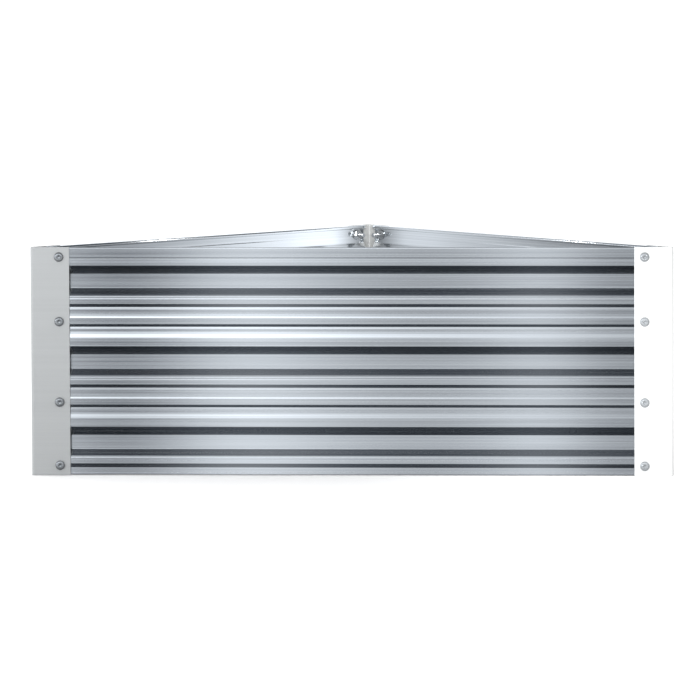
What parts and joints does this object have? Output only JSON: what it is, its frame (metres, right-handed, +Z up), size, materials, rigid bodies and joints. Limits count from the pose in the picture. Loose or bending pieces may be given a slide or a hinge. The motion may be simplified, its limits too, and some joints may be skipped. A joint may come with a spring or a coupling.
{
  "type": "raised bed frame",
  "caption": "Three-sided open growing frame of ribbed sheet-metal walls, with folded corner brackets bolted round its right-angled and acute corners.",
  "frame": {"origin": "on the ground, under the middle of the bounding box", "axes": "+Z up; +X along the long front wall, to the right seen from the front; the front wall faces -Y and the right-angled back corner points to +Y"},
  "size_m": [0.84, 0.4268, 0.3],
  "materials": {
    "wall_sheet": "rolled and galvanised, fine horizontal lines, bluish grey",
    "corner_bracket": "galvanised and passivated, satin, light grey",
    "fasteners": "bright zinc plated"
  },
  "bodies": {
    "root": {"back_corner_bracket": "corner_bracket", "front_left_bolt_1": "fasteners", "front_left_bolt_2": "fasteners", "front_left_bolt_3": "fasteners", "front_left_bolt_4": "fasteners", "front_left_nut_1": "fasteners", "front_left_nut_2": "fasteners", "front_left_nut_3": "fasteners", "front_left_nut_4": "fasteners", "front_panel": "wall_sheet", "front_right_bolt_1": "fasteners", "front_right_bolt_2": "fasteners", "front_right_bolt_3": "fasteners", "front_right_bolt_4": "fasteners", "front_right_nut_1": "fasteners", "front_right_nut_2": "fasteners", "front_right_nut_3": "fasteners", "front_right_nut_4": "fasteners", "left_back_bolt_1": "fasteners", "left_back_bolt_2": "fasteners", "left_back_bolt_3": "fasteners", "left_back_bolt_4": "fasteners", "left_back_nut_1": "fasteners", "left_back_nut_2": "fasteners", "left_back_nut_3": "fasteners", "left_back_nut_4": "fasteners", "left_corner_bracket": "corner_bracket", "left_front_bolt_1": "fasteners", "left_front_bolt_2": "fasteners", "left_front_bolt_3": "fasteners", "left_front_bolt_4": "fasteners", "left_front_nut_1": "fasteners", "left_front_nut_2": "fasteners", "left_front_nut_3": "fasteners", "left_front_nut_4": "fasteners", "left_panel": "wall_sheet", "right_back_bolt_1": "fasteners", "right_back_bolt_2": "fasteners", "right_back_bolt_3": "fasteners", "right_back_bolt_4": "fasteners", "right_back_nut_1": "fasteners", "right_back_nut_2": "fasteners", "right_back_nut_3": "fasteners", "right_back_nut_4": "fasteners", "right_corner_bracket": "corner_bracket", "right_front_bolt_1": "fasteners", "right_front_bolt_2": "fasteners", "right_front_bolt_3": "fasteners", "right_front_bolt_4": "fasteners", "right_front_nut_1": "fasteners", "right_front_nut_2": "fasteners", "right_front_nut_3": "fasteners", "right_front_nut_4": "fasteners", "right_panel": "wall_sheet"}
  },
  "joints": []
}
